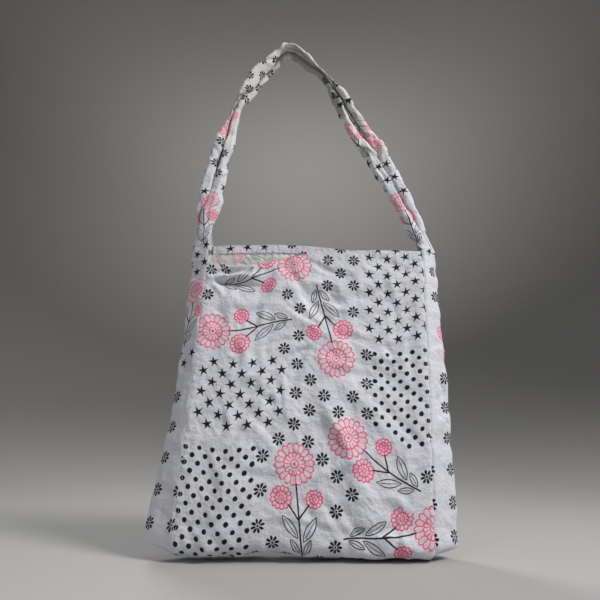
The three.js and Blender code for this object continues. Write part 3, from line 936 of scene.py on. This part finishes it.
def clothMaterial(name, groups, wrong, strap=False, through=1.0):
    # printed cotton; wrong is the paler back of the same cloth, where the print shows through
    look = clothLook
    material, tree, shader = newMaterial(name)
    flat = Wire(tree, None).node("ShaderNodeUVMap", dict(uv_map="cloth"), {})
    u, v = (flat.node("ShaderNodeSeparateXYZ", {}, {0: flat}, out=k) / mm for k in range(2))
    bleed = noise(flat, look["bleedScale"], 1.0).also(1)
    nudges = [flat.node("ShaderNodeSeparateColor", {}, {0: bleed}, out=k) - 0.5 for k in range(2)]
    printedAt = [place + nudge * look["bleed"] for place, nudge in zip((u, v), nudges)]
    ink, pink, blush = useGroup(groups["sprays"], *printedAt)
    ink = most([ink, *(useGroup(groups[kind], *printedAt)[0] for kind in ("florets", "stars", "dots"))])
    inkShare, pinkShare, ground = look["inkShare"], look["pinkShare"], printLook["cloth"]
    if wrong:
        inkShare, pinkShare = printLook["inkThrough"] * through, printLook["pinkThrough"] * through
        ground = printLook["wrongSide"]
    colour = ground
    for row in mottleRows:
        cloud = noise(flat, row["scale"], row["detail"], row["roughness"])
        colour = mixColour((cloud - row["above"]).times(row["gain"]), colour, tinted(ground, row["tint"]))
    if strap:
        # the strap's cream tint, and painted shade in its crease and under its top
        colour = paintStrapCreamAndShade(colour, ground, u, v)
    slub, blot = noise(flat, look["slubScale"], 3.0), noise(flat, look["blotScale"], 3.0)
    grain = ((slub - 0.5) * look["grain"] + look["grainLevel"]).times(1.0)
    colour = mixColour(grain, colour, tinted(ground, look["grainTint"]))
    blush = blush * (look["blushLevel"] + look["blushBlot"] * blot) * pinkShare
    pink = pink * pinkShare * ((look["pinkLevel"] + look["pinkSlub"] * slub) & 1.0)
    inked = ink * inkShare * ((look["inkLevel"] + look["inkSlub"] * slub) & 1.0)
    for share, tint in ((blush, "blush"), (pink, "pink"), (inked, "ink")):
        colour = mixColour(share, colour, printLook[tint])
    colour.feed(shader, "Base Color")
    rough = look["roughness"] + look["slubRoughness"] * slub - look["inkRoughness"] * ink
    rough.feed(shader, "Roughness")
    threads, share = 2 * math.pi / look["thread"], look["weaveShare"]
    weave = (u * threads).wave() * (v * threads).wave() * 0.5 + 0.5
    fine = bump(weave * share + slub * (1 - share), look["weaveStrength"], look["weaveBump"])
    crinkle = noise(flat, look["crinkleScale"], 4.0, look["crinkleRoughness"])
    crinkled = bump(crinkle, look["crinkleStrength"], look["crinkleBump"], fine)
    crinkled.feed(shader, "Normal")
    shader.inputs["Sheen Weight"].default_value = look["sheen"]
    shader.inputs["Sheen Roughness"].default_value = look["sheenRoughness"]
    shader.inputs["Specular IOR Level"].default_value = look["specular"]
    print("material", name, "with", len(tree.nodes), "nodes")
    return material


threadLook = dict(light=srgb(226, 226, 224), dark=srgb(196, 197, 197), roughness=0.7,
                  fuzzScale=700.0, bumpStrength=0.4, bump=0.0002)


def threadMaterial():
    material, tree, shader = newMaterial("sewing thread")
    place = Wire(tree, None).node("ShaderNodeTexCoord", {}, {}, out=3)
    fuzz = noise(place, threadLook["fuzzScale"], 2.0)
    colour = mixColour(fuzz, threadLook["light"], threadLook["dark"])
    colour.feed(shader, "Base Color")
    bump(fuzz, threadLook["bumpStrength"], threadLook["bump"]).feed(shader, "Normal")
    shader.inputs["Roughness"].default_value = threadLook["roughness"]
    return material


# a thick sheet from a grid of places

bakeLook = dict(outerBox=(0, 0.3, 1, 1), innerBox=(0, 0, 1, 0.29), pad=0.03)


def bakeCorners(rows, columns, box, stripes, way):
    # the four corners of each face in the bake's map, in stripes of equal row count
    faceRow = np.repeat(np.arange(rows - 1), columns - 1)
    faceColumn = np.tile(np.arange(columns - 1), rows - 1)
    per = math.ceil((rows - 1) / stripes)
    stripe = faceRow // per
    along = [(faceRow - stripe * per + step) / per for step in (0, 1, 1, 0)]
    off = [(faceColumn + step) / (columns - 1) for step in (0, 0, 1, 1)]
    pad = bakeLook["pad"]
    corners = []
    for a, b in zip(along, off):
        b = (stripe + pad + (1 - 2 * pad) * b) / stripes
        a = pad / 2 + (1 - pad) * a
        x, y = (a, b) if way == "x" else (b, a)
        corners.append(np.stack([box[0] + (box[2] - box[0]) * x, box[1] + (box[3] - box[1]) * y], -1))
    return np.stack(corners, 1)


def sheetFaces(rows, columns):
    # quads of the outside, of the inside turned over, and of the rim that joins them
    index = np.arange(rows * columns).reshape(rows, columns)
    a, b, c, d = index[:-1, :-1], index[1:, :-1], index[1:, 1:], index[:-1, 1:]
    outer = np.stack([a, b, c, d], -1).reshape(-1, 4)
    inner = np.stack([a, d, c, b], -1).reshape(-1, 4) + rows * columns
    rim = []
    for line, flip in ((index[:, 0], False), (index[:, -1], True), (index[0], True), (index[-1], False)):
        far = line + rows * columns
        quad = [line[:-1], far[:-1], far[1:], line[1:]]
        rim.append(np.stack(quad[::-1] if flip else quad, -1))
    return outer, inner, np.concatenate(rim)


def linked(name, data):
    made = bpy.data.objects.new(name, data)
    bpy.context.scene.collection.objects.link(made)
    return made


def clothSheet(name, grid, normals, flat, backFlat, outside, inside, turnedIn, materials, stripes, way):
    rows, columns = grid.shape[:2]
    walls = grid + normals * outside[..., None], grid - normals * inside[..., None]
    places = np.concatenate([wall.reshape(-1, 3) for wall in walls]) * mm
    outer, inner, rim = sheetFaces(rows, columns)
    faces = np.concatenate([outer, inner, rim])
    mesh = bpy.data.meshes.new(name)
    mesh.vertices.add(len(places))
    mesh.vertices.foreach_set("co", places.ravel().astype(np.float32))
    mesh.loops.add(len(faces) * 4)
    mesh.loops.foreach_set("vertex_index", faces.ravel().astype(np.int32))
    mesh.polygons.add(len(faces))
    mesh.polygons.foreach_set("loop_start", np.arange(0, len(faces) * 4, 4, dtype=np.int32))
    mesh.update(calc_edges=True)
    mesh.polygons.foreach_set("use_smooth", np.ones(len(faces), bool))
    # wrong side inside, except where a hem turns the printed side in
    hemFace = turnedIn[:-1, :-1] & turnedIn[1:, 1:]
    slots = np.zeros(len(faces), np.int32)
    slots[len(outer):len(outer) * 2] = np.where(hemFace.ravel(), 0, 1)
    mesh.polygons.foreach_set("material_index", slots)
    # the flat cloth in metres for the print, and a packed map for the bake
    bothFlat = np.concatenate([flat.reshape(-1, 2), backFlat.reshape(-1, 2)]) * mm
    layer = mesh.uv_layers.new(name="cloth")
    layer.uv.foreach_set("vector", bothFlat[faces.ravel()].ravel().astype(np.float32))
    outerMap = bakeCorners(rows, columns, bakeLook["outerBox"], stripes, way)
    innerMap = bakeCorners(rows, columns, bakeLook["innerBox"], stripes, way)
    rimMap = np.tile(outerMap[:1], (len(rim), 1, 1))
    corners = np.concatenate([outerMap, innerMap[:, [0, 3, 2, 1]], rimMap])
    bake = mesh.uv_layers.new(name="OFBake")
    bake.uv.foreach_set("vector", corners.ravel().astype(np.float32))
    mesh.uv_layers.active = mesh.uv_layers["cloth"]
    for material in materials:
        mesh.materials.append(material)
    mesh.validate()
    smoothTurn = np.concatenate([normals.reshape(-1, 3), -normals.reshape(-1, 3)])
    mesh.normals_split_custom_set_from_vertices(smoothTurn.tolist())
    print("made", name, len(places), "places,", len(faces) * 2, "triangles")
    return linked(name, mesh)


# stitches along a line, by Geometry Nodes

stitchLook = dict(spacing=3.1, length=2.3, thick=0.42, seed=7, shortest=0.85, longest=1.12, sides=6, rings=4,
                  hemLift=0.42, seamLift=0.4, fromSeam=3.2, bottomRowsBare=14, strapColumn=3.0)


def stitchTree(material):
    tree = bpy.data.node_groups.new("running stitch", "GeometryNodeTree")
    face = tree.interface
    face.new_socket("Geometry", in_out="INPUT", socket_type="NodeSocketGeometry")
    for name in ("Spacing", "Length", "Thickness"):
        face.new_socket(name, in_out="INPUT", socket_type="NodeSocketFloat")
    face.new_socket("Seed", in_out="INPUT", socket_type="NodeSocketInt")
    face.new_socket("Geometry", in_out="OUTPUT", socket_type="NodeSocketGeometry")
    add = tree.nodes.new
    start, end = add("NodeGroupInput"), add("NodeGroupOutput")
    curve, points = add("GeometryNodeMeshToCurve"), add("GeometryNodeCurveToPoints")
    points.mode = "LENGTH"
    ball, size = add("GeometryNodeMeshUVSphere"), add("ShaderNodeCombineXYZ")
    ball.inputs["Segments"].default_value = stitchLook["sides"]
    ball.inputs["Rings"].default_value = stitchLook["rings"]
    ball.inputs["Radius"].default_value = 0.5
    aim, vary = add("FunctionNodeAlignRotationToVector"), add("FunctionNodeRandomValue")
    aim.axis = "Z"
    vary.inputs[2].default_value = stitchLook["shortest"]
    vary.inputs[3].default_value = stitchLook["longest"]
    scale, place = add("ShaderNodeVectorMath"), add("GeometryNodeInstanceOnPoints")
    scale.operation = "SCALE"
    real, finish = add("GeometryNodeRealizeInstances"), add("GeometryNodeSetMaterial")
    finish.inputs["Material"].default_value = material
    for source, out, target, into in (
            (start, "Geometry", curve, "Mesh"),
            (curve, "Curve", points, "Curve"),
            (start, "Spacing", points, "Length"),
            (points, "Points", place, "Points"),
            (points, "Tangent", aim, "Vector"),
            (aim, "Rotation", place, "Rotation"),
            (start, "Thickness", size, "X"),
            (start, "Thickness", size, "Y"),
            (start, "Length", size, "Z"),
            (start, "Seed", vary, "Seed"),
            (size, 0, scale, 0),
            (vary, 1, scale, "Scale"),
            (scale, 0, place, "Scale"),
            (ball, "Mesh", place, "Instance"),
            (place, "Instances", real, "Geometry"),
            (real, "Geometry", finish, "Geometry"),
            (finish, "Geometry", end, "Geometry")):
        tree.links.new(source.outputs[out], target.inputs[into])
    return tree


def stitchPiece(name, lines, tree):
    # each line is a row of places in millimetres, lying on the cloth
    places, edges, start = [], [], 0
    for line in lines:
        places += [tuple(place * mm) for place in line]
        edges += [(start + k, start + k + 1) for k in range(len(line) - 1)]
        start += len(line)
    mesh = bpy.data.meshes.new(name + " line")
    mesh.from_pydata(places, edges, [])
    guide = linked(name + " line", mesh)
    modifier = guide.modifiers.new("stitches", "NODES")
    modifier.node_group = tree
    named = {item.name: item.identifier for item in tree.interface.items_tree if item.in_out == "INPUT"}
    for socket, key in (("Spacing", "spacing"), ("Length", "length"), ("Thickness", "thick")):
        modifier[named[socket]] = stitchLook[key] * mm
    modifier[named["Seed"]] = stitchLook["seed"]
    bpy.context.view_layer.update()
    graph = bpy.context.evaluated_depsgraph_get()
    sewn = bpy.data.meshes.new_from_object(guide.evaluated_get(graph))
    sewn.name = name
    guide.modifiers.clear()
    bpy.data.objects.remove(guide)
    sewn.polygons.foreach_set("use_smooth", np.ones(len(sewn.polygons), bool))
    print("sewed", name, len(sewn.polygons), "faces")
    return linked(name, sewn)


def onCloth(grid, normals, axis, at, lift):
    # a line of places on the outside of the cloth, along row (axis 0) or column (axis 1) at
    low, share = int(at), at - int(at)
    pick = lambda places: np.take(places, low, axis) * (1 - share) + np.take(places, low + 1, axis) * share
    return pick(grid) + pick(normals) * lift


# making the pieces

def thinning(distance, look):
    # the share of the wall's thickness that is left towards a cut edge
    return look["edgeThin"] + (1 - look["edgeThin"]) * np.clip(distance / look["edgeReach"], 0, 1) ** 0.5


bodyGroups, bandGroups = printGroups(bodyPrint), printGroups(bandPrint)
printedBody = clothMaterial("printed cotton, body", bodyGroups, False)
wrongBody = clothMaterial("wrong side, body", bodyGroups, True)
printedBand = clothMaterial("printed cotton, band", bandGroups, False, strap=True)
wrongBand = clothMaterial("wrong side, band", bandGroups, True, strap=True, through=1.5)
thread = threadMaterial()

body, bodyDrop, across = bodyGrid()
middleRow = len(body) // 2
bodyV = lengthAlong(body, 0)
bodyV = bodyV[middleRow][None] - bodyV  # from the bottom's middle, up the front
bodyU = np.broadcast_to(across * bag["panelWidth"] / 2, bodyV.shape)
body = bodyCrumple(body, bodyDrop, bodyU, bodyV)
bodyNormals = gridNormals(body)
inHem = bodyDrop < bag["hemDepth"] + bodyLook["hemSlack"]
topV = np.where(np.arange(len(body))[:, None] < middleRow, bodyV[:1], bodyV[-1:])
backFlat = np.stack([bodyU, np.where(inHem, 2 * topV - bodyV, bodyV)], -1)
edge = thinning(bodyDrop, bodyLook)
thickIn = np.where(inHem, bag["hemInside"], bag["clothHalf"])
bodyPanel = clothSheet("body_cloth", body, bodyNormals, np.stack([bodyU, bodyV], -1), backFlat,
                       bag["clothHalf"] * edge, thickIn * edge, inHem, [printedBody, wrongBody], 2, "y")

band, firstStrap, lastStrap = bandGrid()
middleColumn = bandLook["columns"] // 2
bandU = lengthAlong(band, 1)
bandU = bandU - bandU[:, middleColumn][:, None]
bandV = np.broadcast_to(lengthAlong(band, 0)[:, middleColumn][:, None], bandU.shape)
band = bandCrumple(band, bandU, bandV, firstStrap, lastStrap)
bandNormals = gridNormals(band)
bandFlat = np.stack([bandU, bandV], -1)
bandPieces = {}
for name, low, high, stripes in (("left_gusset", 0, firstStrap, 2),
                                 ("shoulder_strap", firstStrap, lastStrap, 3),
                                 ("right_gusset", lastStrap, len(band) - 1, 2)):
    rows = slice(low, high + 1)
    fromEdge = fromBandEdge(bandU)[rows]
    turnedIn = (fromEdge < strapLook["edgeHem"]) & (name == "shoulder_strap")
    thickIn = np.where(turnedIn, strapLook["hemInside"], bag["clothHalf"])
    edge = thinning(fromEdge, bandLook)
    bandPieces[name] = clothSheet(name, band[rows], bandNormals[rows], bandFlat[rows], bandFlat[rows],
                                  bag["clothHalf"] * edge, thickIn * edge, turnedIn,
                                  [printedBand, wrongBand], stripes, "x")

stitch = stitchTree(thread)
hemRow = 8  # the row of places that lies just above the hem's lower edge
lastRow, lastColumn = len(body) - 1, bodyLook["columns"] - 1
hemLines = [onCloth(body, bodyNormals, 0, row, stitchLook["hemLift"]) for row in (hemRow, lastRow - hemRow)]
stitches = [stitchPiece("mouth_stitches", [line[1:-1] for line in hemLines], stitch)]
seamColumn = stitchLook["fromSeam"] / (bag["panelWidth"] / lastColumn)
bare = stitchLook["bottomRowsBare"]
for name, column in (("left_seam_stitches", seamColumn), ("right_seam_stitches", lastColumn - seamColumn)):
    line = onCloth(body, bodyNormals, 1, column, stitchLook["seamLift"])
    stitches.append(stitchPiece(name, [line[2:middleRow - bare], line[middleRow + bare:-2]], stitch))
strap, strapNormals = (each[firstStrap:lastStrap + 1] for each in (band, bandNormals))
strapColumns = (stitchLook["strapColumn"], bandLook["columns"] - 1 - stitchLook["strapColumn"])
strapLines = [onCloth(strap, strapNormals, 1, column, stitchLook["seamLift"]) for column in strapColumns]
stitches.append(stitchPiece("strap_stitches", strapLines, stitch))

# stage, light and camera

stageLook = dict(floorZ=cadLow.z - 0.001, colour=srgb(174, 173, 172), roughness=0.9,
                 innerRings=(0.2, 0.5), wallAt=3.4, curve=2.5, curveSteps=16, wallTop=5.5, turns=96,
                 airColour=(0.5, 0.5, 0.5, 1), airStrength=0.5)
lampRows = table(
    "name place aim size spread power colour",
    ("key softbox", (1.45, -0.95, 0.85), (0.02, -0.1, -0.5), 0.7, 105, 14.2, (1.0, 0.99, 0.97)),
    ("fill softbox", (-1.6, -2.0, 0.5), (0.02, 0, -0.45), 1.2, 110, 3.4, (0.97, 0.985, 1.0)),
    ("back softbox", (-1.1, 1.8, 1.1), (0.02, 0, -0.4), 1.3, 80, 6.5, (1.0, 1.0, 1.0)),
    ("backdrop softbox", (0.05, 1.3, 1.8), (0.05, 3.2, 2.3), 0.9, 150, 17, (1.0, 0.98, 0.95)),
    ("top softbox", (0.1, -0.6, 1.6), (0.02, -0.4, -0.76), 1.4, 90, 1.8, (1.0, 1.0, 1.0)))


def studioBowl():
    # a round floor that curves up into a wall on every side
    wallAt, curve, turns = stageLook["wallAt"], stageLook["curve"], stageLook["turns"]
    profile = [(radius, 0.0) for radius in (*stageLook["innerRings"], wallAt - curve)]
    for k in range(1, stageLook["curveSteps"] + 1):
        turn = k / stageLook["curveSteps"] * math.pi / 2
        profile.append((wallAt - curve * (1 - math.sin(turn)), curve * (1 - math.cos(turn))))
    profile.append((wallAt, stageLook["wallTop"]))
    angles = [2 * math.pi * k / turns for k in range(turns)]
    places = [(radius * math.cos(angle), radius * math.sin(angle), z + stageLook["floorZ"])
              for radius, z in profile for angle in angles]
    faces = [tuple(range(turns))]
    for ring in range(len(profile) - 1):
        low, high = ring * turns, (ring + 1) * turns
        for k in range(turns):
            after = (k + 1) % turns
            faces.append((low + k, high + k, high + after, low + after))
    mesh = bpy.data.meshes.new("studio bowl")
    mesh.from_pydata(places, [], faces)
    for face in mesh.polygons:
        face.use_smooth = True
    material, _, shader = newMaterial("studio paper")
    shader.inputs["Base Color"].default_value = stageLook["colour"]
    shader.inputs["Roughness"].default_value = stageLook["roughness"]
    mesh.materials.append(material)
    return linked("studio_bowl", mesh)


def softBox(name, place, aim, size, spread, power, colour):
    lamp = bpy.data.lights.new(name, "AREA")
    lamp.shape, lamp.size, lamp.energy, lamp.color = "DISK", size, power, colour
    lamp.spread = math.radians(spread)
    holder = linked(name, lamp)
    holder.location = place
    holder.rotation_euler = (Vector(aim) - Vector(place)).to_track_quat("-Z", "Y").to_euler()
    holder.visible_camera = False


studioBowl()
for row in lampRows:
    softBox(**row)
world = bpy.data.worlds.new("studio air")
world.use_nodes = True
air = world.node_tree.nodes["Background"]
air.inputs["Color"].default_value = stageLook["airColour"]
air.inputs["Strength"].default_value = stageLook["airStrength"]
bpy.context.scene.world = world
bpy.context.scene.view_settings.view_transform = "Standard"

cameraLook = dict(lens=27.0, sensor=36.0, place=(0.0166, -0.6055, -0.6279), pitch=17.4)
lens = bpy.data.cameras.new("photo camera")
lens.lens, lens.sensor_width, lens.sensor_fit = cameraLook["lens"], cameraLook["sensor"], "HORIZONTAL"
camera = linked("photo camera", lens)
camera.location = cameraLook["place"]
camera.rotation_euler = (math.radians(90 + cameraLook["pitch"]), 0, 0)
bpy.context.scene.camera = camera
print("stage, lights and camera set")

# every piece rides on the one body, and each cloth is shown where its solid, now hidden, was

cloths = [(bodyPanel, "body_panel", "body_cotton")]
cloths += [(piece, "side_band", "band_cotton") for piece in bandPieces.values()]
for piece, node, slot in cloths:
    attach(piece, "root")
    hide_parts(node)
for piece in stitches:
    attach(piece, "root")
